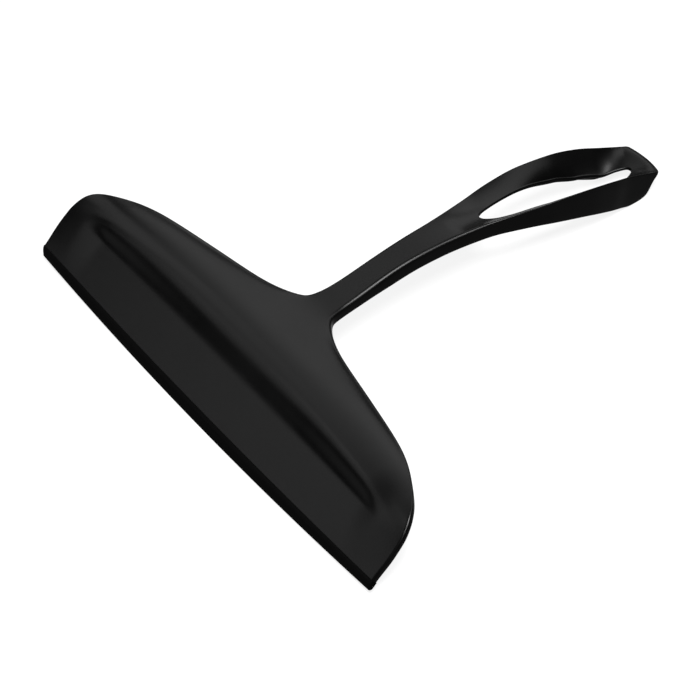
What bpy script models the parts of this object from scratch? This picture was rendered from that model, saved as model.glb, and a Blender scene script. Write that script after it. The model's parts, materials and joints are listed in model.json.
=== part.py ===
"""One-hand squeegee: a rigid moulding (wide head, slim arched handle, loop grip) and its soft lip.

The tool lies as it does on a table: front face up, on the middle of its blade edge and on the
grip's two side walls. X runs along the blade, Y from the blade to the grip, Z up, in metres.
"""
import bpy
import bmesh
import numpy as np
from mathutils import Matrix, Vector

MM = 0.001
FIT_GAP = 0.3 * MM

# Stations are lengths along the front face, measured from the line through the blade's corners.
HEAD_WIDTH = 250 * MM
HEAD_HEIGHT = 66 * MM
HANDLE_LENGTH = 151.5 * MM
NECK_WIDTH = 14.8 * MM
STEM_WIDTH = 14 * MM
GRIP_WIDTH = 29 * MM
TIP_WIDTH = 22.1 * MM

PANEL_THICKNESS = 2.6 * MM
STEM_THICKNESS = 5.85 * MM
GRIP_DEPTH = 13.8 * MM
TIP_THICKNESS = 1.6 * MM
RIM_RADIUS = 1.8 * MM
GRIP_RIM_RADIUS = 0.4 * MM
UNDER_RADIUS = 1.0 * MM
TIP_CORNER_RADIUS = 1.6 * MM
TIP_CROWN = 1.8 * MM

PANEL_EDGE_AT_ENDS = 3.9 * MM
PANEL_CROWN = 1.6 * MM
LIP_CROWN = 2.9 * MM
LIP_TIP_THICKNESS = 0.5 * MM
LIP_CORNER_RADIUS = 1.2 * MM

# The crease: the foot of the swelling between panel and handle, with a low pad beyond its ends.
CREASE_HEIGHT = 20.8 * MM
CREASE_HALF_LENGTH = 96 * MM
CREASE_RUN_OUT = 17 * MM
CROWN_TO_CREASE = 2.5 * MM
SWELL_HEIGHT = 4.2 * MM
SWELL_RISE = 17 * MM
SWELL_NARROWING = 0.6
PAD_HEIGHT = 3.0 * MM
PAD_REACH = 25 * MM

# The slot through the grip, set back from the tip.
SLOT_TO_TIP = 7.1 * MM
SLOT_LENGTH = 71.5 * MM
SLOT_WIDTH = 14.4 * MM
TROUGH_DEPTH = 10.8 * MM
DISH_STRAIGHTNESS = 0.78
ARM_EDGE = 1.2 * MM

# Dovetail teeth along the panel's lower edge, round which the lip is moulded.
TOOTH_COUNT = 15
TOOTH_ROOT = 5.0 * MM
TOOTH_FLARE = 0.8 * MM
TOOTH_LENGTH = 1.7 * MM
TOOTH_THICKNESS = 0.7 * MM
TOOTH_FROM_FRONT = 1.1 * MM
TOOTH_MARGIN = 12 * MM
TOOTH_ROOTING = 1.5 * MM

HALF = HEAD_WIDTH / 2
TIP_STATION = HEAD_HEIGHT + HANDLE_LENGTH
SLOT_END = TIP_STATION - SLOT_TO_TIP
SLOT_START = SLOT_END - SLOT_LENGTH
CROWN_END = CREASE_HEIGHT - CROWN_TO_CREASE

# Bend of the front face away from the panel's plane: (station, degrees).
HEAD_BEND = [(0.39, 0.0), (0.55, 33.0), (0.73, 44.0), (0.94, 37.3)]
HANDLE_BEND = [(0.13, 26.7), (0.33, 36.0), (0.53, 39.8), (0.73, 47.4), (0.93, 60.5)]

# Shoulder outline: (share of the head's height, share of the way from neck to full width).
SHOULDER = [(0.067, 0.998), (0.20, 1.002), (0.32, 0.998), (0.42, 0.980), (0.50, 0.948), (0.606, 0.850),
            (0.70, 0.718), (0.788, 0.450), (0.864, 0.188), (0.924, 0.082), (1.0, 0.013)]

# Handle outline: (share of the handle's length, share of the way from the stem's to the grip's half width).
GRIP_OUTLINE = [(0.20, 0.0), (0.33, 0.09), (0.46, 0.355), (0.56, 0.728), (0.66, 0.983), (0.76, 1.0),
                (0.84, 0.879), (0.90, 0.681)]

# Side walls: (share of the slot's length from its start, share of the way from stem thickness to grip depth).
GRIP_WALL = [(-0.32, 0.02), (-0.045, 0.09), (0.252, 0.375), (0.527, 0.762), (0.803, 0.99), (0.887, 1.0),
             (0.962, 0.823), (1.025, 0.457), (1.067, -0.25)]

# The hollow round the slot: (share of the slot's length from its start, share of the trough's depth).
TROUGH = [(-0.39, 0), (-0.21, 0.03), (-0.11, 0.145), (-0.01, 0.285), (0.10, 0.46), (0.23, 0.545),
          (0.37, 0.555), (0.54, 0.675), (0.71, 1.0), (0.85, 0.97), (0.95, 0.565), (1.015, 0.265), (1.08, 0)]


def clear_scene():
    for item in list(bpy.data.objects):
        bpy.data.objects.remove(item, do_unlink=True)


def smooth_curve(points, at):
    """A curve through the points that never overshoots them, with level ends."""
    x, y = np.array(points, float).T
    step = np.diff(x)
    slope = np.diff(y) / step
    tangent = np.zeros(len(x))
    same = slope[1:] * slope[:-1] > 0
    a, b = slope[:-1][same], slope[1:][same]
    wa, wb = (2 * step[1:] + step[:-1])[same], (step[1:] + 2 * step[:-1])[same]
    tangent[1:-1][same] = (wa + wb) / (wa / a + wb / b)
    at = np.clip(np.asarray(at, float), x[0], x[-1])
    i = np.clip(np.searchsorted(x, at) - 1, 0, len(step) - 1)
    t = (at - x[i]) / step[i]
    return ((1 + 2 * t) * (1 - t) ** 2 * y[i] + t * (1 - t) ** 2 * step[i] * tangent[i]
            + t * t * (3 - 2 * t) * y[i + 1] + t * t * (t - 1) * step[i] * tangent[i + 1])


def soft_step(t):
    t = np.clip(t, 0, 1)
    return t * t * (3 - 2 * t)


def rounded_end(distance, radius):
    """Drop of a quarter round at a distance from an end."""
    return radius - np.sqrt(radius ** 2 - np.clip(radius - distance, 0, radius) ** 2)


def handle_station(share):
    return HEAD_HEIGHT + share * HANDLE_LENGTH


def slot_station(share):
    return SLOT_START + share * SLOT_LENGTH


def bend_angle(station):
    knots = [(0.0, 0.0)] + [(share * HEAD_HEIGHT, angle) for share, angle in HEAD_BEND]
    knots += [(handle_station(share), angle) for share, angle in HANDLE_BEND]
    return np.radians(smooth_curve(knots, station))


def centre_line():
    """Stations along the front face with their height up the panel and their rise off its plane."""
    station = np.linspace(0, TIP_STATION, 861)
    angle = bend_angle(station)
    middle = (angle[1:] + angle[:-1]) / 2
    step = np.diff(station)
    up = np.concatenate([[0], np.cumsum(np.cos(middle) * step)])
    rise = -np.concatenate([[0], np.cumsum(np.sin(middle) * step)])
    return station, up, rise


LINE = centre_line()


def half_width(station):
    neck = NECK_WIDTH / 2
    knots = [(share * HEAD_HEIGHT, neck + (HALF - neck) * part) for share, part in SHOULDER]
    stem, grip = STEM_WIDTH / 2, GRIP_WIDTH / 2
    knots += [(handle_station(0.07), neck)]
    knots += [(handle_station(share), stem + (grip - stem) * part) for share, part in GRIP_OUTLINE]
    knots += [(TIP_STATION, TIP_WIDTH / 2)]
    return smooth_curve(knots, station) - rounded_end(TIP_STATION - station, TIP_CORNER_RADIUS)


def wall_depth(station):
    """Depth of the side wall below the front face's edge."""
    knots = [(0, PANEL_THICKNESS), (0.80 * HEAD_HEIGHT, PANEL_THICKNESS), (HEAD_HEIGHT, 0.70 * STEM_THICKNESS),
             (handle_station(0.10), 0.82 * STEM_THICKNESS), (handle_station(0.20), STEM_THICKNESS)]
    knots += [(slot_station(share), STEM_THICKNESS + (GRIP_DEPTH - STEM_THICKNESS) * part)
              for share, part in GRIP_WALL]
    knots += [(TIP_STATION, TIP_THICKNESS)]
    return smooth_curve(knots, station)


def slot_half_width(station):
    """Half the width of an ellipse that is as long as the slot."""
    share = np.clip((station - SLOT_START) / SLOT_LENGTH, 0, 1)
    return SLOT_WIDTH * np.sqrt(share * (1 - share))


def trough_depth(station):
    return TROUGH_DEPTH * smooth_curve(TROUGH, (station - SLOT_START) / SLOT_LENGTH)


def dish(x, station, outer):
    """Share of the trough's depth: steeper towards the slot's edge, and a level bowl where no slot is."""
    share = np.clip((station - SLOT_START) / SLOT_LENGTH, 0, 1)
    ring = (4 * share * (1 - share)) ** 2
    inward = np.clip((outer - x) / (outer - SLOT_WIDTH / 2 * ring), 0, 1)
    cone = DISH_STRAIGHTNESS * inward + (1 - DISH_STRAIGHTNESS) * inward ** 4
    return ring * cone + (1 - ring) * (1 - (1 - inward) ** 2)


def rim_radius(station, depth):
    """Wide along the head and the stem, narrow round the grip."""
    slim = soft_step((station - SLOT_START) / (0.5 * SLOT_LENGTH) + 0.6)
    return np.minimum(RIM_RADIUS + (GRIP_RIM_RADIUS - RIM_RADIUS) * slim, 0.38 * depth)


def swell(x, station, edge):
    """Rise above the bent plane: an S-shaped step past the crease, gone at the outline and past the neck."""
    x = np.abs(x)
    past = soft_step((station - CREASE_HEIGHT) / (SWELL_RISE * (1 - SWELL_NARROWING * (x / HALF) ** 2)))
    pad = PAD_HEIGHT * soft_step((station - CREASE_HEIGHT + PAD_REACH) / (2 * PAD_REACH))
    beyond = soft_step((x - CREASE_HALF_LENGTH) / CREASE_RUN_OUT)
    inward = np.clip(1 - (x / edge) ** (12 - 8 * past), 0, 1)
    fade = 1 - soft_step((station - 0.5 * HEAD_HEIGHT) / (0.6 * HEAD_HEIGHT))
    return (SWELL_HEIGHT * past + (pad - SWELL_HEIGHT * past) * beyond) * inward * fade


def place(x, station, off):
    """Points at x, at a station along the front face, and off it by a height square to it."""
    near_tip = soft_step((station - SLOT_END) / SLOT_TO_TIP)
    station = station - TIP_CROWN * (x / (TIP_WIDTH / 2)) ** 2 * near_tip
    x, station, off = np.broadcast_arrays(x, station, off)
    angle = bend_angle(station)
    up = np.interp(station, LINE[0], LINE[1]) + off * np.sin(angle)
    rise = np.interp(station, LINE[0], LINE[2]) + off * np.cos(angle)
    sag = PANEL_CROWN * (1 - (x / HALF) ** 2)
    fade = np.clip((CROWN_END - station) / (CROWN_END - PANEL_EDGE_AT_ENDS), 0, 1)
    return np.stack([x, up - sag * fade, rise], axis=-1)


def lip_tip(x):
    return -LIP_CROWN * (1 - (x / HALF) ** 2)


def panel_edge(x):
    return PANEL_EDGE_AT_ENDS - PANEL_CROWN * (1 - (x / HALF) ** 2)


def resting_pitch():
    """Angle that lays the blade's tip and the grip's lowest point on one level, with that tip's place."""
    station = np.linspace(handle_station(0.3), TIP_STATION, 300)
    under = place(0 * station, station, -wall_depth(station))
    tip = np.array([lip_tip(0.0), -PANEL_THICKNESS])
    slope = np.arctan2(under[:, 2] - tip[1], under[:, 1] - tip[0])
    return -slope.min(), tip


PITCH, REST_TIP = resting_pitch()


def lay_down():
    """Turn from the panel's axes to the table's, blade tip at height zero and the outline centred in Y."""
    turn = Matrix.Rotation(PITCH, 4, "X")
    station = np.linspace(PANEL_EDGE_AT_ENDS, TIP_STATION, 400)
    front = place(0 * station, station, 0)
    under = place(0 * station, station, -wall_depth(station))
    lip = [[0, REST_TIP[0], REST_TIP[1]], [0, REST_TIP[0], REST_TIP[1] + LIP_TIP_THICKNESS]]
    side = np.concatenate([front, under, lip])
    turned = np.array([turn @ Vector(point) for point in side])
    middle = (turned[:, 1].min() + turned[:, 1].max()) / 2
    return Matrix.Translation((0, -middle, -turned[:, 2].min())) @ turn


def plastic(name, colour, roughness):
    material = bpy.data.materials.new(name)
    material.use_nodes = True
    shader = material.node_tree.nodes["Principled BSDF"]
    shader.inputs["Base Color"].default_value = (*colour, 1)
    shader.inputs["Roughness"].default_value = roughness
    shader.inputs["Metallic"].default_value = 0
    return material


def new_object(name, points, faces, material=None):
    mesh = bpy.data.meshes.new(name)
    mesh.from_pydata([tuple(point) for point in points], [], faces)
    item = bpy.data.objects.new(name, mesh)
    bpy.context.scene.collection.objects.link(item)
    work = bmesh.new()
    work.from_mesh(mesh)
    bmesh.ops.recalc_face_normals(work, faces=work.faces)
    work.to_mesh(mesh)
    work.free()
    if material:
        mesh.materials.append(material)
        mesh.shade_smooth()
        mesh.set_sharp_from_angle(angle=np.radians(35))
    return item


def body_stations():
    head = np.array([0.16, 0.25, 0.335, 0.36, 0.39, 0.43, 0.48, 0.54, 0.61, 0.67, 0.72, 0.76, 0.80, 0.84,
                     0.88, 0.92, 0.96, 1.0]) * HEAD_HEIGHT
    head = np.concatenate([[PANEL_EDGE_AT_ENDS], head])
    stem = np.linspace(HEAD_HEIGHT, SLOT_START, 12)[1:]
    along = (1 - np.cos(np.linspace(0, np.pi, 25))) / 2
    slot = SLOT_START + SLOT_LENGTH * along[1:]
    tip = SLOT_END + SLOT_TO_TIP * np.array([0.3, 0.6, 0.8, 0.9, 1.0])
    return np.concatenate([head, stem, slot, tip])


def body_half():
    """The +X half as one grid: each station's ring runs out over the front, down the side and back below."""
    stations = body_stations()
    across = np.array([0, 0.13, 0.27, 0.42, 0.56, 0.68, 0.78, 0.85, 0.91, 0.96, 1.0])
    edge = half_width(stations)[:, None]
    depth = wall_depth(stations)[:, None]
    inner = slot_half_width(stations)[:, None]
    trough = trough_depth(stations)[:, None]
    station = stations[:, None]

    rim = rim_radius(station, depth)
    low = np.minimum(UNDER_RADIUS, 0.4 * depth)

    x = inner + (edge - rim - inner) * across
    front = swell(x, station, edge) - trough * dish(x, station, edge - rim)

    x_under = inner + (edge - low - inner) * across
    hollow = 1 - soft_step((station - 0.76 * HEAD_HEIGHT) / (0.24 * HEAD_HEIGHT))
    arm = soft_step((station - SLOT_START) / (0.28 * SLOT_LENGTH) + 0.8)
    fallen = trough * dish(inner, station, edge - rim)
    rising = np.maximum(depth - fallen - ARM_EDGE, 0) * arm * (1 - across ** 5)
    under = swell(x_under, station, edge) * hollow - depth + rising

    turn = np.radians([45, 90])
    rounds = place(edge - rim * (1 - np.sin(turn)), station, front[:, -1:] - rim * (1 - np.cos(turn)))
    rings = np.concatenate([place(x, station, front), rounds, place(edge, station, under[:, -1:] + low),
                            place(x_under, station, under)[:, ::-1]], axis=1)
    count, size = rings.shape[:2]
    faces = []
    middle = (stations[1:] + stations[:-1]) / 2
    slotted = (middle > SLOT_START) & (middle < SLOT_END)
    for row in range(count - 1):
        here = row * size
        above = here + size
        for column in range(size if slotted[row] else size - 1):
            after = (column + 1) % size
            faces.append((here + column, here + after, above + after, above + column))
    for base in (0, (count - 1) * size):
        cells = len(across) - 1
        for column in range(cells):
            faces.append((base + column, base + column + 1, base + size - 2 - column, base + size - 1 - column))
        faces.append(tuple(range(base + cells, base + size - cells)))
    return rings.reshape(-1, 3), faces


def tooth_boxes(clearance):
    """Dovetail teeth below the panel's edge, grown by a clearance and rooted above it."""
    points, faces = [], []
    reach = HALF - TOOTH_MARGIN
    front = -TOOTH_FROM_FRONT + clearance
    back = -TOOTH_FROM_FRONT - TOOTH_THICKNESS - clearance
    for centre in np.linspace(-reach, reach, TOOTH_COUNT):
        top = panel_edge(centre) + TOOTH_ROOTING
        bottom = panel_edge(centre) - TOOTH_LENGTH - clearance
        half_root = TOOTH_ROOT / 2 + clearance
        base = len(points)
        for rise in (front, back):
            points += [(centre - half_root, top, rise), (centre + half_root, top, rise),
                       (centre + half_root + TOOTH_FLARE, bottom, rise),
                       (centre - half_root - TOOTH_FLARE, bottom, rise)]
        ring = [(base + k, base + (k + 1) % 4, base + 4 + (k + 1) % 4, base + 4 + k) for k in range(4)]
        faces += ring + [(base + 3, base + 2, base + 1, base), (base + 4, base + 5, base + 6, base + 7)]
    return points, faces


def hide(item):
    item.hide_render = True
    item.display_type = "WIRE"


def combine(item, other, operation):
    boolean = item.modifiers.new(operation.title(), "BOOLEAN")
    boolean.operation = operation
    boolean.object = other
    boolean.solver = "EXACT"
    hide(other)


def make_body(lay):
    points, faces = body_half()
    body = new_object("body", points, faces, plastic("satin_plastic", (0.022, 0.022, 0.022), 0.42))
    mirror = body.modifiers.new("Mirror", "MIRROR")
    mirror.merge_threshold = 0.00001
    teeth = new_object("teeth_guide", *tooth_boxes(0.0))
    combine(body, teeth, "UNION")
    for item in (body, teeth):
        item.matrix_world = lay
    return body


def lip_ring(x, width):
    """The lip's section at x: root against the panel, curved front, thin tip, flat back."""
    corner = np.clip((np.abs(x) - (width - LIP_CORNER_RADIUS)) / LIP_CORNER_RADIUS, 0, 1)
    tip = lip_tip(x) + LIP_CORNER_RADIUS * (1 - np.sqrt(1 - corner ** 2))
    root = panel_edge(x) - FIT_GAP
    fall = PANEL_THICKNESS - LIP_TIP_THICKNESS
    share = np.array([0, 0.25, 0.5, 0.75, 1.0])
    front = [(x, root + (tip - root) * s, -fall * s ** 2.2) for s in share]
    return front + [(x, tip, -PANEL_THICKNESS), (x, root, -PANEL_THICKNESS)]


def make_lip(lay):
    width = half_width(PANEL_EDGE_AT_ENDS)
    inner = np.linspace(0, width - LIP_CORNER_RADIUS, 14)
    turn = np.radians([25, 50, 70, 90])
    positive = np.concatenate([inner, width - LIP_CORNER_RADIUS * (1 - np.sin(turn))])
    positions = np.concatenate([-positive[:0:-1], positive])
    rings = [lip_ring(x, width) for x in positions]
    size = len(rings[0])
    points = [point for ring in rings for point in ring]
    faces = []
    for row in range(len(rings) - 1):
        here = row * size
        above = here + size
        for column in range(size):
            after = (column + 1) % size
            faces.append((here + column, here + after, above + after, above + column))
    faces += [tuple(range(size)), tuple(range(len(points) - size, len(points)))]
    lip = new_object("lip", points, faces, plastic("soft_rubber", (0.008, 0.008, 0.008), 0.6))
    pockets = new_object("pocket_guide", *tooth_boxes(FIT_GAP))
    combine(lip, pockets, "DIFFERENCE")
    for item in (lip, pockets):
        item.matrix_world = lay
    return lip


clear_scene()
LAY = lay_down()
make_body(LAY)
make_lip(LAY)
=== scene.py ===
"""Looks of a one-hand squeegee: the satin plastic moulding and its soft lip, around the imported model.

The tool lies front face up, on its blade and on the grip's side walls. X runs along the blade,
Y from the blade to the grip, Z up, in metres.
"""
import json
import bmesh
import bpy
import numpy as np
from mathutils import Matrix, Vector


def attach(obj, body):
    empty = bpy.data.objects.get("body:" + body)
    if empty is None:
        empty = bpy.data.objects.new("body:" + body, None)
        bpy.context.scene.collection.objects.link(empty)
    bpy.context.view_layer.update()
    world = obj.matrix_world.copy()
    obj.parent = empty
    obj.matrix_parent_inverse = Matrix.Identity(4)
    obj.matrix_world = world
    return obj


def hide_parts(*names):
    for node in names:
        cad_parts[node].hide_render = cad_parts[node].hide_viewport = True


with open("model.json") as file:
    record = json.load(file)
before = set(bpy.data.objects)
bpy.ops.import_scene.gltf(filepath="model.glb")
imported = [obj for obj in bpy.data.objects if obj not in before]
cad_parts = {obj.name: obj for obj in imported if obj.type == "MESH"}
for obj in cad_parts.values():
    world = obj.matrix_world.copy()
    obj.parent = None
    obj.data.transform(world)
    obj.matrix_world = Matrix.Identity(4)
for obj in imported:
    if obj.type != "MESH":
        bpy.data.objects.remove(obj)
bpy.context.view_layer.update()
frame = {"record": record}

# The moulding. One shell of black polypropylene: a flat panel that swells at a crease into shoulders,
# a neck and an arched stem, which opens into a slotted loop grip. It is injection moulded in one shot,
# with a satin face and no separate parts.
MM = 0.001
HEAD_WIDTH = 250 * MM
HEAD_HEIGHT = 66 * MM
HANDLE_LENGTH = 151.5 * MM
NECK_WIDTH = 14.8 * MM
STEM_WIDTH = 14 * MM
GRIP_WIDTH = 29 * MM
TIP_WIDTH = 22.1 * MM

PANEL_THICKNESS = 2.6 * MM
STEM_THICKNESS = 5.85 * MM
GRIP_DEPTH = 13.8 * MM
TIP_THICKNESS = 1.6 * MM
RIM_RADIUS = 1.8 * MM
GRIP_RIM_RADIUS = 0.4 * MM
UNDER_RADIUS = 0.9 * MM
PANEL_EDGE_RADIUS = 0.2 * MM
TIP_RADIUS = 0.5 * MM
TIP_CORNER_RADIUS = 1.6 * MM
SLOT_RIM_RADIUS = 0.5 * MM

PANEL_EDGE_AT_ENDS = 3.9 * MM
PANEL_CROWN = 1.6 * MM
CREASE_HEIGHT = 20.8 * MM
CREASE_HALF_LENGTH = 96 * MM
CREASE_RUN_OUT = 17 * MM
CROWN_TO_CREASE = 2.5 * MM
SWELL_HEIGHT = 4.2 * MM
SWELL_RISE = 17 * MM
SWELL_NARROWING = 0.6
PAD_HEIGHT = 3.0 * MM
PAD_REACH = 25 * MM

SLOT_TO_TIP = 7.1 * MM
SLOT_LENGTH = 71.5 * MM
SLOT_WIDTH = 14.4 * MM
TROUGH_DEPTH = 10.8 * MM
DISH_STRAIGHTNESS = 0.78
ARM_EDGE = 1.2 * MM
TIP_CROWN = 1.8 * MM

HALF = HEAD_WIDTH / 2
TIP_STATION = HEAD_HEIGHT + HANDLE_LENGTH
SLOT_END = TIP_STATION - SLOT_TO_TIP
SLOT_START = SLOT_END - SLOT_LENGTH
CROWN_END = CREASE_HEIGHT - CROWN_TO_CREASE

# Shares of the head's height or the handle's length, each with a bend in degrees or a share of the way
# between two of the sizes above. The last two tables have shares of the slot's length from its start.
HEAD_BEND = [(0.39, 0.0), (0.55, 33.0), (0.73, 44.0), (0.94, 37.3)]
HANDLE_BEND = [(0.13, 26.7), (0.33, 36.0), (0.53, 39.8), (0.73, 47.4), (0.93, 60.5)]
SHOULDER = [(0.067, 0.998), (0.20, 1.002), (0.32, 0.998), (0.42, 0.980), (0.50, 0.948), (0.606, 0.850),
            (0.70, 0.718), (0.788, 0.450), (0.864, 0.188), (0.924, 0.082), (1.0, 0.013)]
GRIP_OUTLINE = [(0.20, 0.0), (0.33, 0.09), (0.46, 0.355), (0.56, 0.728), (0.66, 0.983), (0.76, 1.0),
                (0.84, 0.879), (0.90, 0.681)]
GRIP_WALL = [(-0.32, 0.02), (-0.045, 0.09), (0.252, 0.375), (0.527, 0.762), (0.803, 0.99), (0.887, 1.0),
             (0.962, 0.823), (1.025, 0.457), (1.067, -0.25)]
TROUGH = [(-0.39, 0), (-0.21, 0.03), (-0.11, 0.145), (-0.01, 0.285), (0.10, 0.46), (0.23, 0.545),
          (0.37, 0.555), (0.54, 0.675), (0.71, 1.0), (0.85, 0.97), (0.95, 0.565), (1.015, 0.265), (1.08, 0)]

# Where one form passes into the next. SHEET_END, HOLLOW_END and the fade are shares of the head's height.
# NECK_END and the stations of STEM_WALL are shares of the handle's length, with shares of the stem's
# thickness. The slimming of the rim and the rise of the arms are as long as these shares of the slot, and
# their leads are the shares of themselves that lie before it.
SHEET_END = 0.80
HOLLOW_END = 0.76
SWELL_FADE_START, SWELL_FADE_LENGTH = 0.5, 0.6
NECK_END = 0.07
STEM_WALL = [(0.0, 0.70), (0.10, 0.82), (0.20, 1.0)]
RIM_SLIMMING, RIM_LEAD = 0.5, 0.6
ARM_RISE, ARM_LEAD = 0.28, 0.8

# Limits of a round as shares of the wall's depth, and powers that say how close to an edge a form falls off.
RIM_SHARE, UNDER_SHARE = 0.38, 0.4
EDGE_FALL_FLAT, EDGE_FALL_SWOLLEN = 12, 4
ARM_FALL = 5

# How wide the bell is that eases a curve, and how fine the curves and rounds are.
EASE, WALL_EASE = 1.2 * MM, 0.6 * MM
BELL_REACH = 4
CURVE_STATIONS = 2176
SPACING_SAMPLES = 4001
RIM_STEPS = 6
SIDE_SHARES = [0.33, 0.67]
SLOT_RIM_STEPS = 3
SAME_POINT = 0.0005 * MM
SHARP_TURN = 35


def smooth_curve(points, at):
    """A cubic between each two points. Its tangents are the weighted harmonic mean of the slopes beside them,
    and level where the slopes change sign, so it never overshoots."""
    x, y = np.array(points, float).T
    step = np.diff(x)
    slope = np.diff(y) / step
    tangent = np.zeros(len(x))
    same = slope[1:] * slope[:-1] > 0
    a, b = slope[:-1][same], slope[1:][same]
    wa, wb = (2 * step[1:] + step[:-1])[same], (step[1:] + 2 * step[:-1])[same]
    tangent[1:-1][same] = (wa + wb) / (wa / a + wb / b)
    at = np.clip(np.asarray(at, float), x[0], x[-1])
    i = np.clip(np.searchsorted(x, at) - 1, 0, len(step) - 1)
    t = (at - x[i]) / step[i]
    return ((1 + 2 * t) * (1 - t) ** 2 * y[i] + t * (1 - t) ** 2 * step[i] * tangent[i]
            + t * t * (3 - 2 * t) * y[i + 1] + t * t * (t - 1) * step[i] * tangent[i + 1])


def flowing(points, at, spread=EASE):
    """The smooth curve averaged over a bell of that spread. It is continued past both ends by a half turn
    about them, so that they stay put."""
    fine = np.linspace(0, TIP_STATION, CURVE_STATIONS)
    step = fine[1] - fine[0]
    value = smooth_curve(points, fine)
    reach = int(BELL_REACH * spread / step)
    before = 2 * value[0] - value[reach:0:-1]
    after = 2 * value[-1] - value[-2:-reach - 2:-1]
    bell = np.exp(-0.5 * (np.arange(-reach, reach + 1) * step / spread) ** 2)
    eased = np.convolve(np.concatenate([before, value, after]), bell / bell.sum(), mode="valid")
    return np.interp(at, fine, eased)


def soft_step(t):
    """0 to 1 as t goes from 0 to 1, level at both ends: 3t squared less 2t cubed."""
    t = np.clip(t, 0, 1)
    return t * t * (3 - 2 * t)


def rounded_end(distance, radius):
    """Drop of a quarter round at a distance from an end: the radius less the root of its square less the
    square of what the distance falls short of it."""
    return radius - np.sqrt(radius ** 2 - np.clip(radius - distance, 0, radius) ** 2)


def handle_station(share):
    """The station at a share of the handle's length past the head."""
    return HEAD_HEIGHT + share * HANDLE_LENGTH


def slot_station(share):
    """The station at a share of the slot's length from its start."""
    return SLOT_START + share * SLOT_LENGTH


def bend_angle(station):
    """Angle between the front face and the panel's plane: the flowing curve through both bend tables."""
    knots = [(0.0, 0.0)] + [(share * HEAD_HEIGHT, angle) for share, angle in HEAD_BEND]
    knots += [(handle_station(share), angle) for share, angle in HANDLE_BEND]
    return np.radians(flowing(knots, station))


def half_width(station):
    """The outline: the flowing curve through the shoulder, neck and grip tables, with a round tip corner."""
    neck, stem, grip = NECK_WIDTH / 2, STEM_WIDTH / 2, GRIP_WIDTH / 2
    knots = [(share * HEAD_HEIGHT, neck + (HALF - neck) * part) for share, part in SHOULDER]
    knots += [(handle_station(NECK_END), neck)]
    knots += [(handle_station(share), stem + (grip - stem) * part) for share, part in GRIP_OUTLINE]
    knots += [(TIP_STATION, TIP_WIDTH / 2)]
    return flowing(knots, station) - rounded_end(TIP_STATION - station, TIP_CORNER_RADIUS)


def wall_depth(station):
    """Depth of the side wall below the front face's edge: the flowing curve through both wall tables."""
    knots = [(0, PANEL_THICKNESS), (SHEET_END * HEAD_HEIGHT, PANEL_THICKNESS)]
    knots += [(handle_station(share), part * STEM_THICKNESS) for share, part in STEM_WALL]
    knots += [(slot_station(share), STEM_THICKNESS + (GRIP_DEPTH - STEM_THICKNESS) * part)
              for share, part in GRIP_WALL]
    knots += [(TIP_STATION, TIP_THICKNESS)]
    return flowing(knots, station, WALL_EASE)


def slot_half_width(station):
    """Half the width of an ellipse as long as the slot: its width times the root of share times rest."""
    share = np.clip((station - SLOT_START) / SLOT_LENGTH, 0, 1)
    return SLOT_WIDTH * np.sqrt(share * (1 - share))


def trough_depth(station):
    """Depth of the hollow round the slot: the smooth curve through the trough table."""
    return TROUGH_DEPTH * smooth_curve(TROUGH, (station - SLOT_START) / SLOT_LENGTH)


def dish(x, station, outer):
    """Share of the trough's depth: along the slot a straight fall with a fourth power added, steepest at its
    edge, and before and past it a parabola, level in the middle. The outer edge is where it starts."""
    share = np.clip((station - SLOT_START) / SLOT_LENGTH, 0, 1)
    ring = (4 * share * (1 - share)) ** 2
    inward = np.clip((outer - x) / (outer - SLOT_WIDTH / 2 * ring), 0, 1)
    cone = DISH_STRAIGHTNESS * inward + (1 - DISH_STRAIGHTNESS) * inward ** 4
    return ring * cone + (1 - ring) * (1 - (1 - inward) ** 2)


def swell(x, station, edge):
    """Rise above the bent plane: an S-shaped step past the crease, gone at the outline and past the neck.
    Beyond the crease's ends the step is lower and starts sooner."""
    x = np.abs(x)
    past = soft_step((station - CREASE_HEIGHT) / (SWELL_RISE * (1 - SWELL_NARROWING * (x / HALF) ** 2)))
    pad = PAD_HEIGHT * soft_step((station - CREASE_HEIGHT + PAD_REACH) / (2 * PAD_REACH))
    beyond = soft_step((x - CREASE_HALF_LENGTH) / CREASE_RUN_OUT)
    fall = EDGE_FALL_FLAT - (EDGE_FALL_FLAT - EDGE_FALL_SWOLLEN) * past
    inward = np.clip(1 - (x / edge) ** fall, 0, 1)
    fade = 1 - soft_step((station - SWELL_FADE_START * HEAD_HEIGHT) / (SWELL_FADE_LENGTH * HEAD_HEIGHT))
    return (SWELL_HEIGHT * past + (pad - SWELL_HEIGHT * past) * beyond) * inward * fade


def centre_line():
    """Stations along the front face, with the sums of the bend's cosine and sine as height and rise."""
    station = np.linspace(0, TIP_STATION, CURVE_STATIONS)
    angle = bend_angle(station)
    middle = (angle[1:] + angle[:-1]) / 2
    step = np.diff(station)
    up = np.concatenate([[0], np.cumsum(np.cos(middle) * step)])
    rise = -np.concatenate([[0], np.cumsum(np.sin(middle) * step)])
    return station, up, rise, angle


LINE = centre_line()


def place(x, station, off):
    """Points at x, at a station along the front face, and off it by a height square to it. Parabolas across
    the tool move the stations near the tip and bow the panel's lower part."""
    near_tip = soft_step((station - SLOT_END) / SLOT_TO_TIP)
    station = station - TIP_CROWN * (x / (TIP_WIDTH / 2)) ** 2 * near_tip
    x, station, off = np.broadcast_arrays(x, station, off)
    angle = np.interp(station, LINE[0], LINE[3])
    up = np.interp(station, LINE[0], LINE[1]) + off * np.sin(angle)
    rise = np.interp(station, LINE[0], LINE[2]) + off * np.cos(angle)
    sag = PANEL_CROWN * (1 - (x / HALF) ** 2)
    fade = np.clip((CROWN_END - station) / (CROWN_END - PANEL_EDGE_AT_ENDS), 0, 1)
    return np.stack([x, up - sag * fade, rise], axis=-1)


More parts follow.
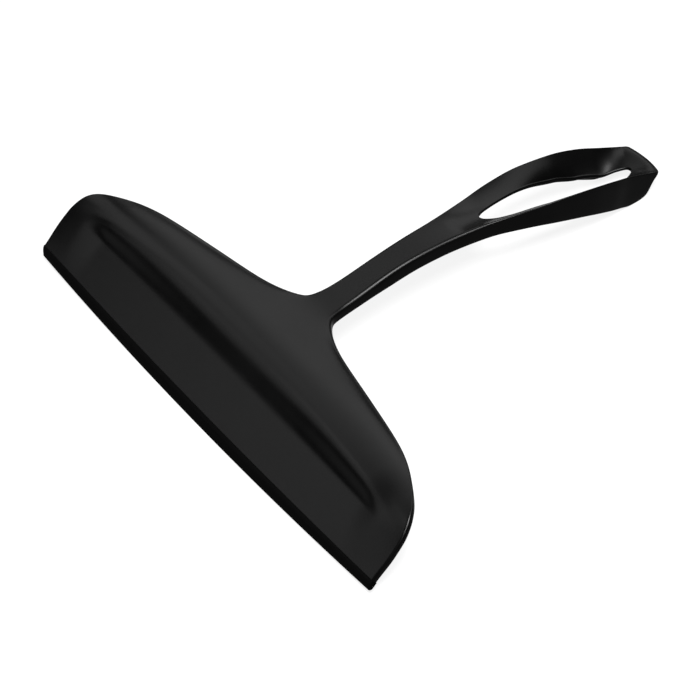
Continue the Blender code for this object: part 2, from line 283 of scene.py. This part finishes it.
# The panel's front mount gives the pitch at which the tool lies, and one point to set it down by.
MOUNT_STATION = 11.3 * MM
front_mount = next(mount for mount in frame["record"]["mounts"] if mount["name"] == "panel_front")


def lay_down(points):
    """Turns points from the panel's axes to the table's: about X by the mount's pitch, then to its place."""
    sine, cosine = -front_mount["axis"][1], front_mount["axis"][2]
    x, up, rise = points[..., 0], points[..., 1], points[..., 2]
    y = front_mount["pos_m"][1] + cosine * (up - MOUNT_STATION) - sine * rise
    z = front_mount["pos_m"][2] + sine * (up - MOUNT_STATION) + cosine * rise
    return np.stack([x, y, z], axis=-1)


def spaced(start, end, steps):
    """Places from start to end, as far apart as the steps given at some of them: equal shares of the sum of
    length over step."""
    fine = np.linspace(start, end, SPACING_SAMPLES)
    at, step = np.array(steps, float).T
    count = np.concatenate([[0], np.cumsum(np.diff(fine) / np.interp(fine[1:], at, step))])
    return np.interp(np.linspace(0, count[-1], int(np.ceil(count[-1])) + 1), count, fine)


def quads(rows, columns):
    """Corner numbers of the quads of a grid of rings, whose last column joins the first."""
    row, column = np.meshgrid(np.arange(rows - 1), np.arange(columns), indexing="ij")
    after = (column + 1) % columns
    return np.stack([row * columns + column, row * columns + after, (row + 1) * columns + after,
                     (row + 1) * columns + column], axis=-1)


def new_piece(name, points, faces, material):
    """A smooth mesh of the points that the faces use, creased at a sharp turn, with close points made one."""
    used, faces = np.unique(faces, return_inverse=True)
    mesh = bpy.data.meshes.new(name)
    mesh.from_pydata(points[used].tolist(), [], faces.reshape(-1, 4).tolist())
    shell = bmesh.new()
    shell.from_mesh(mesh)
    bmesh.ops.remove_doubles(shell, verts=shell.verts, dist=SAME_POINT)
    shell.to_mesh(mesh)
    shell.free()
    mesh.materials.append(material)
    mesh.shade_smooth()
    mesh.set_sharp_from_angle(angle=np.radians(SHARP_TURN))
    piece = bpy.data.objects.new(name, mesh)
    bpy.context.scene.collection.objects.link(piece)
    return piece


def body_rings(stations, across):
    """The +X half as one grid. A station's ring runs out over the front, round the rim, down the side,
    round below and back, then up the slot's wall. Each round is a quarter circle, square to the outline."""
    station = stations[:, None]
    edge = half_width(station)
    lean = np.sqrt(1 + np.gradient(half_width(stations), stations)[:, None] ** 2)
    depth = wall_depth(station)
    inner = slot_half_width(station)
    trough = trough_depth(station)
    nose = rounded_end(station - stations[0], PANEL_EDGE_RADIUS)
    nose = nose + rounded_end(stations[-1] - station, TIP_RADIUS)
    slim = soft_step((station - SLOT_START) / (RIM_SLIMMING * SLOT_LENGTH) + RIM_LEAD)
    rim = np.minimum(RIM_RADIUS + (GRIP_RIM_RADIUS - RIM_RADIUS) * slim, RIM_SHARE * (depth - 2 * nose))
    outer = edge - rim * lean
    low = np.minimum(UNDER_RADIUS, UNDER_SHARE * (depth - 2 * nose))
    slot_rim = SLOT_RIM_RADIUS * soft_step(inner / (3 * SLOT_RIM_RADIUS))
    quarter = np.radians(np.linspace(0, 90, RIM_STEPS + 1))
    slot_quarter = np.radians(np.linspace(0, 90, SLOT_RIM_STEPS + 1))

    x_front = inner + slot_rim + (outer - inner - slot_rim) * across
    off_front = swell(x_front, station, edge) - trough * dish(x_front, station, outer) - nose
    hollow = 1 - soft_step((station - HOLLOW_END * HEAD_HEIGHT) / ((1 - HOLLOW_END) * HEAD_HEIGHT))
    arm = soft_step((station - SLOT_START) / (ARM_RISE * SLOT_LENGTH) + ARM_LEAD)
    fallen = trough * dish(inner, station, outer)
    x_under = inner + slot_rim + (edge - low * lean - inner - slot_rim) * across[::-1]
    rising = np.maximum(depth - fallen - ARM_EDGE, 0) * arm * (1 - across[::-1] ** ARM_FALL)
    off_under = swell(x_under, station, edge) * hollow - depth + rising + nose
    x_rim = outer + rim * lean * np.sin(quarter[1:])
    off_rim = off_front[:, -1:] - rim * (1 - np.cos(quarter[1:]))
    x_low = edge - low * lean * (1 - np.cos(quarter[:-1]))
    off_low = off_under[:, :1] + low * (1 - np.sin(quarter[:-1]))
    off_side = off_rim[:, -1:] + (off_low[:, :1] - off_rim[:, -1:]) * np.array(SIDE_SHARES)
    x_up = inner + slot_rim * (1 - np.sin(slot_quarter[1:]))
    off_up = off_under[:, -1:] + slot_rim * (1 - np.cos(slot_quarter[1:]))
    x_top = inner + slot_rim * (1 - np.cos(slot_quarter[:-1]))
    off_top = off_front[:, :1] - slot_rim * (1 - np.sin(slot_quarter[:-1]))
    x = np.concatenate([x_front, x_rim, edge + 0 * off_side, x_low, x_under, x_up, x_top], axis=1)
    off = np.concatenate([off_front, off_rim, off_side, off_low, off_under, off_up, off_top], axis=1)
    return place(x, station, off)


# How far apart the rings are: (station, step) before the slot and past it, the count of rings along it, and
# (share, step) across the face from the slot or the middle to the rim.
STEPS_BEFORE_SLOT = [(PANEL_EDGE_AT_ENDS, 0.05 * MM), (PANEL_EDGE_AT_ENDS + PANEL_EDGE_RADIUS, 0.1 * MM),
                     (7 * MM, 0.6 * MM), (18 * MM, 0.5 * MM), (38 * MM, 0.4 * MM), (46 * MM, 0.32 * MM),
                     (62 * MM, 0.32 * MM), (75 * MM, 0.8 * MM), (SLOT_START, 0.8 * MM)]
STEPS_PAST_SLOT = [(SLOT_END, 0.2 * MM), (TIP_STATION - TIP_RADIUS, 0.15 * MM), (TIP_STATION, 0.04 * MM)]
SLOT_RINGS = 151
STEPS_ACROSS = [(0, 0.012), (0.04, 0.03), (0.70, 0.035), (0.78, 0.012), (0.98, 0.012), (1, 0.005)]
ON_MIDDLE = 1e-9


def make_body(material):
    """Both halves of the moulding, joined along the middle and closed at the panel's edge and the tip. The
    rings along the slot stand at one less the cosine of equal angles, so they are closest at its ends."""
    before = spaced(PANEL_EDGE_AT_ENDS, SLOT_START, STEPS_BEFORE_SLOT)
    along = SLOT_START + SLOT_LENGTH * (1 - np.cos(np.linspace(0, np.pi, SLOT_RINGS))) / 2
    after = spaced(SLOT_END, TIP_STATION, STEPS_PAST_SLOT)
    stations = np.concatenate([before, along[1:], after[1:]])
    across = spaced(0, 1, STEPS_ACROSS)
    rings = body_rings(stations, across)
    rows, columns = rings.shape[:2]
    wall_start = columns - 2 * SLOT_RIM_STEPS - 1
    faces = quads(rows, columns)
    keep = np.ones(faces.shape[:2], bool)
    middle = (stations[1:] + stations[:-1]) / 2
    keep[:, wall_start:] = ((middle > SLOT_START) & (middle < SLOT_END))[:, None]
    cell = np.arange(len(across) + RIM_STEPS)
    cap = np.stack([cell, cell + 1, wall_start - cell - 1, wall_start - cell], axis=-1)
    faces = np.concatenate([faces[keep], cap[:, ::-1], cap + (rows - 1) * columns])
    half = rings.reshape(-1, 3)
    on_middle = np.abs(half[:, 0]) < ON_MIDDLE
    number = np.arange(len(half)) + np.where(on_middle, 0, len(half))
    faces = np.concatenate([faces, number[faces][:, ::-1]])
    points = lay_down(np.concatenate([half, half * [-1, 1, 1]]))
    return new_piece("moulded_body", points, faces, material)


# The satin plastic: how much its face mirrors, its roughness and its grey, both from one to the other with
# the clouds, the scale of the clouds and of the grain, and how strong and deep the grain is.
SATIN_MIRRORING = 0.025
SATIN_ROUGHNESS = (0.28, 0.33)
SATIN_GREYS = (0.0001, 0.0002)
CLOUD_SCALE = 45
GRAIN_SCALE = 2600
GRAIN_STRENGTH = 0.25
GRAIN_DEPTH = 0.03 * MM
NOISE_MIDDLE = (0.3, 0.7)


def new_material(name, mirroring):
    """A material with its nodes, its links and its shader, whose face mirrors that much."""
    material = bpy.data.materials.new(name)
    material.use_nodes = True
    tree = material.node_tree
    shader = tree.nodes["Principled BSDF"]
    shader.inputs["Specular IOR Level"].default_value = mirroring
    return material, tree.nodes, tree.links, shader


def add_noise(nodes, links, vector, scale, detail):
    """Cloudy noise from 0 to 1 at a vector, in waves of one over the scale, with that many finer octaves."""
    noise = nodes.new("ShaderNodeTexNoise")
    noise.inputs["Scale"].default_value = scale
    noise.inputs["Detail"].default_value = detail
    links.new(vector, noise.inputs["Vector"])
    return noise.outputs["Fac"]


def add_range(nodes, links, value, low, high):
    """The middle of a noise, stretched over the range from low to high and cut off there."""
    spread = nodes.new("ShaderNodeMapRange")
    names = ("From Min", "From Max", "To Min", "To Max")
    for name, number in zip(names, (*NOISE_MIDDLE, low, high)):
        spread.inputs[name].default_value = number
    links.new(value, spread.inputs["Value"])
    return spread.outputs["Result"]


def add_greys(nodes, links, shader, share, dark, light):
    """The base colour: a mix of two greys by a share."""
    mix = nodes.new("ShaderNodeMix")
    mix.data_type = "RGBA"
    mix.inputs["A"].default_value = (dark, dark, dark, 1)
    mix.inputs["B"].default_value = (light, light, light, 1)
    links.new(share, mix.inputs["Factor"])
    links.new(mix.outputs["Result"], shader.inputs["Base Color"])


def add_bump(nodes, links, shader, height, strength, distance):
    """Relief of that depth, from a height between 0 and 1."""
    bump = nodes.new("ShaderNodeBump")
    bump.inputs["Strength"].default_value = strength
    bump.inputs["Distance"].default_value = distance
    links.new(height, bump.inputs["Height"])
    links.new(bump.outputs["Normal"], shader.inputs["Normal"])


def satin_plastic():
    """Black polypropylene: a fine spark-eroded grain in the face, with a little cloud in its gloss."""
    material, nodes, links, shader = new_material("satin_plastic", SATIN_MIRRORING)
    place_on = nodes.new("ShaderNodeTexCoord").outputs["Object"]
    cloud = add_noise(nodes, links, place_on, CLOUD_SCALE, 3)
    grain = add_noise(nodes, links, place_on, GRAIN_SCALE, 2)
    links.new(add_range(nodes, links, cloud, *SATIN_ROUGHNESS), shader.inputs["Roughness"])
    add_greys(nodes, links, shader, add_range(nodes, links, cloud, 0, 1), *SATIN_GREYS)
    add_bump(nodes, links, shader, grain, GRAIN_STRENGTH, GRAIN_DEPTH)
    return material


body = make_body(satin_plastic())
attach(body, "root")
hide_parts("body")

# The lip. A strip of soft black rubber moulded round the panel's lower edge, flat behind and tapered
# in front to a thin rounded tip, which wipes the water.
LIP_CROWN = 2.9 * MM
LIP_TIP_THICKNESS = 0.5 * MM
LIP_CORNER_RADIUS = 1.2 * MM
LIP_SET_BACK = 0.12 * MM
LIP_SEAT_GAP = 0.02 * MM
LIP_CORNER_SOFTNESS = 0.15 * MM
LIP_TAPER = 2.2

# How many sections the lip has up to its corner and round it, and points in its front and round its tip.
LIP_SECTIONS, LIP_CORNER_SECTIONS = 90, 12
LIP_CORNER_TURN = 88
LIP_FRONT_POINTS, LIP_TIP_POINTS = 16, 8
LIP_TIP_TURN = (20, 160)


def panel_edge(x):
    """Height of the panel's lower edge: a parabola that sags by the crown in the middle."""
    return PANEL_EDGE_AT_ENDS - PANEL_CROWN * (1 - (x / HALF) ** 2)


def make_lip(material):
    """The lip's section carried along the blade: a front that falls with a power of the way down, a half
    round at the tip, a flat back and the root. At both corners a quarter circle lifts the tip."""
    width = half_width(np.array(PANEL_EDGE_AT_ENDS)) - LIP_CORNER_SOFTNESS
    inner = np.linspace(0, width - LIP_CORNER_RADIUS, LIP_SECTIONS)
    turn = np.radians(np.linspace(0, LIP_CORNER_TURN, LIP_CORNER_SECTIONS))[1:]
    positive = np.concatenate([inner, width - LIP_CORNER_RADIUS * (1 - np.sin(turn))])
    x = np.concatenate([-positive[:0:-1], positive])[:, None]
    corner = np.clip((np.abs(x) - (width - LIP_CORNER_RADIUS)) / LIP_CORNER_RADIUS, 0, 1)
    tip = -LIP_CROWN * (1 - (x / HALF) ** 2) + LIP_CORNER_RADIUS * (1 - np.sqrt(1 - corner ** 2))
    root = panel_edge(x) - LIP_SEAT_GAP
    radius = LIP_TIP_THICKNESS / 2
    share = np.linspace(0, 1, LIP_FRONT_POINTS)
    fall = PANEL_THICKNESS - LIP_TIP_THICKNESS - LIP_SET_BACK
    up_front = root + (tip + radius - root) * share
    off_front = -LIP_SET_BACK - fall * share ** LIP_TAPER
    round_tip = np.radians(np.linspace(*LIP_TIP_TURN, LIP_TIP_POINTS))
    up_tip = tip + radius - radius * np.sin(round_tip)
    off_tip = -PANEL_THICKNESS + radius + radius * np.cos(round_tip) + 0 * x
    back = share[::-3]
    up_back = root + (tip + radius - root) * back
    off_back = -PANEL_THICKNESS + 0 * x + 0 * back
    up = np.concatenate([up_front, up_tip, up_back], axis=1)
    off = np.concatenate([off_front + 0 * x, off_tip, off_back], axis=1)
    rings = lay_down(np.stack([x + 0 * up, up, off], axis=-1))
    rows, columns = up.shape
    cell = np.arange(columns // 2 - 1)
    cap = np.stack([cell, cell + 1, columns - 2 - cell, columns - 1 - cell], axis=-1)
    faces = np.concatenate([quads(rows, columns).reshape(-1, 4), cap[:, ::-1], cap + (rows - 1) * columns])
    return new_piece("rubber_lip", rings.reshape(-1, 3), faces, material)


# The rubber, as the plastic above, and how often the noise repeats along X, Y and Z, in waves a metre.
RUBBER_MIRRORING = 0.006
RUBBER_ROUGHNESS = (0.6, 0.75)
RUBBER_GREYS = (0.0001, 0.0003)
MOULD_LINES = (12, 900, 900)
LINE_STRENGTH = 0.3
LINE_DEPTH = 0.02 * MM


def soft_rubber():
    """Matt black rubber: almost no gloss, with faint lines along the blade from its mould."""
    material, nodes, links, shader = new_material("soft_rubber", RUBBER_MIRRORING)
    stretch = nodes.new("ShaderNodeMapping")
    stretch.inputs["Scale"].default_value = MOULD_LINES
    links.new(nodes.new("ShaderNodeTexCoord").outputs["Object"], stretch.inputs["Vector"])
    lines = add_noise(nodes, links, stretch.outputs["Vector"], 1, 2)
    links.new(add_range(nodes, links, lines, *RUBBER_ROUGHNESS), shader.inputs["Roughness"])
    add_greys(nodes, links, shader, lines, *RUBBER_GREYS)
    add_bump(nodes, links, shader, lines, LINE_STRENGTH, LINE_DEPTH)
    return material


lip = make_lip(soft_rubber())
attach(lip, "root")
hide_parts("lip")

# The floor. A plain sheet of white acrylic, lit a little from below as on a photographer's table, so that
# it is white and the shadows on it are light.
FLOOR_SIZE = 6.0
FLOOR_GREY = 0.022
FLOOR_GLOW = 0.85
FLOOR_ROUGHNESS = 0.9
acrylic, _, _, acrylic_shader = new_material("white_acrylic", 0.0)
acrylic_shader.inputs["Base Color"].default_value = (FLOOR_GREY, FLOOR_GREY, FLOOR_GREY, 1)
acrylic_shader.inputs["Roughness"].default_value = FLOOR_ROUGHNESS
acrylic_shader.inputs["Emission Color"].default_value = (1, 1, 1, 1)
acrylic_shader.inputs["Emission Strength"].default_value = FLOOR_GLOW
sheet = bpy.data.meshes.new("floor")
reach = FLOOR_SIZE / 2
sheet.from_pydata([(-reach, -reach, 0), (reach, -reach, 0), (reach, reach, 0), (-reach, reach, 0)], [],
                  [(0, 1, 2, 3)])
sheet.materials.append(acrylic)
floor = bpy.data.objects.new("floor", sheet)
bpy.context.scene.collection.objects.link(floor)

# The light. Softboxes in a dark room: the broad faces mirror those to the left, the loop's far arm the one
# behind, and a bright one high above draws the line along the stem's rim.
SOFTBOX_DISTANCE = 1.1
ROOM_GREY = 0.01


def softbox(name, azimuth, elevation, width, height, brightness):
    """A softbox facing the tool, from an azimuth clockwise from +Y and an elevation, both in degrees.
    Its power is pi times its area times its brightness."""
    data = bpy.data.lights.new(name, "AREA")
    data.shape = "RECTANGLE"
    data.size, data.size_y = width, height
    data.energy = np.pi * width * height * brightness
    lamp = bpy.data.objects.new(name, data)
    turn, rise = np.radians([azimuth, elevation])
    direction = Vector((np.sin(turn) * np.cos(rise), np.cos(turn) * np.cos(rise), np.sin(rise)))
    lamp.location = direction * SOFTBOX_DISTANCE
    lamp.rotation_euler = direction.to_track_quat("Z", "Y").to_euler()
    bpy.context.scene.collection.objects.link(lamp)


softbox("left_softbox", -80, 52, 2.0, 0.6, 6.3)
softbox("left_low_softbox", -95, 30, 0.5, 0.5, 3.5)
softbox("left_front_softbox", -141, 31, 0.5, 0.5, 6.6)
softbox("left_back_softbox", -38, 27, 1.2, 0.4, 5.0)
softbox("back_softbox", 5, 50, 0.7, 0.5, 18.0)
softbox("top_softbox", 95, 64, 0.5, 0.5, 210.0)

room = bpy.data.worlds.new("dark_room")
bpy.context.scene.world = room
room.use_nodes = True
room.node_tree.nodes["Background"].inputs["Color"].default_value = (ROOM_GREY, ROOM_GREY, ROOM_GREY, 1)

# The camera, with the photograph's view: its place and its aim in metres, its roll in degrees, and its lens
# and its sensor in millimetres.
CAMERA_PLACE = Vector((1.15257947, -0.52419906, 1.06848341))
CAMERA_AIM = Vector((0.01779658, -0.04337187, 0.01))
CAMERA_ROLL = -13.115559307
CAMERA_LENS = 222.678
SENSOR_WIDTH = 36

camera_data = bpy.data.cameras.new("camera")
camera_data.sensor_width = SENSOR_WIDTH
camera_data.lens = CAMERA_LENS
camera = bpy.data.objects.new("camera", camera_data)
camera.location = CAMERA_PLACE
aim = (CAMERA_AIM - CAMERA_PLACE).to_track_quat("-Z", "Y").to_matrix()
camera.rotation_euler = (aim @ Matrix.Rotation(np.radians(CAMERA_ROLL), 3, "Z")).to_euler()
bpy.context.scene.collection.objects.link(camera)
bpy.context.scene.camera = camera
bpy.context.scene.view_settings.view_transform = "Standard"
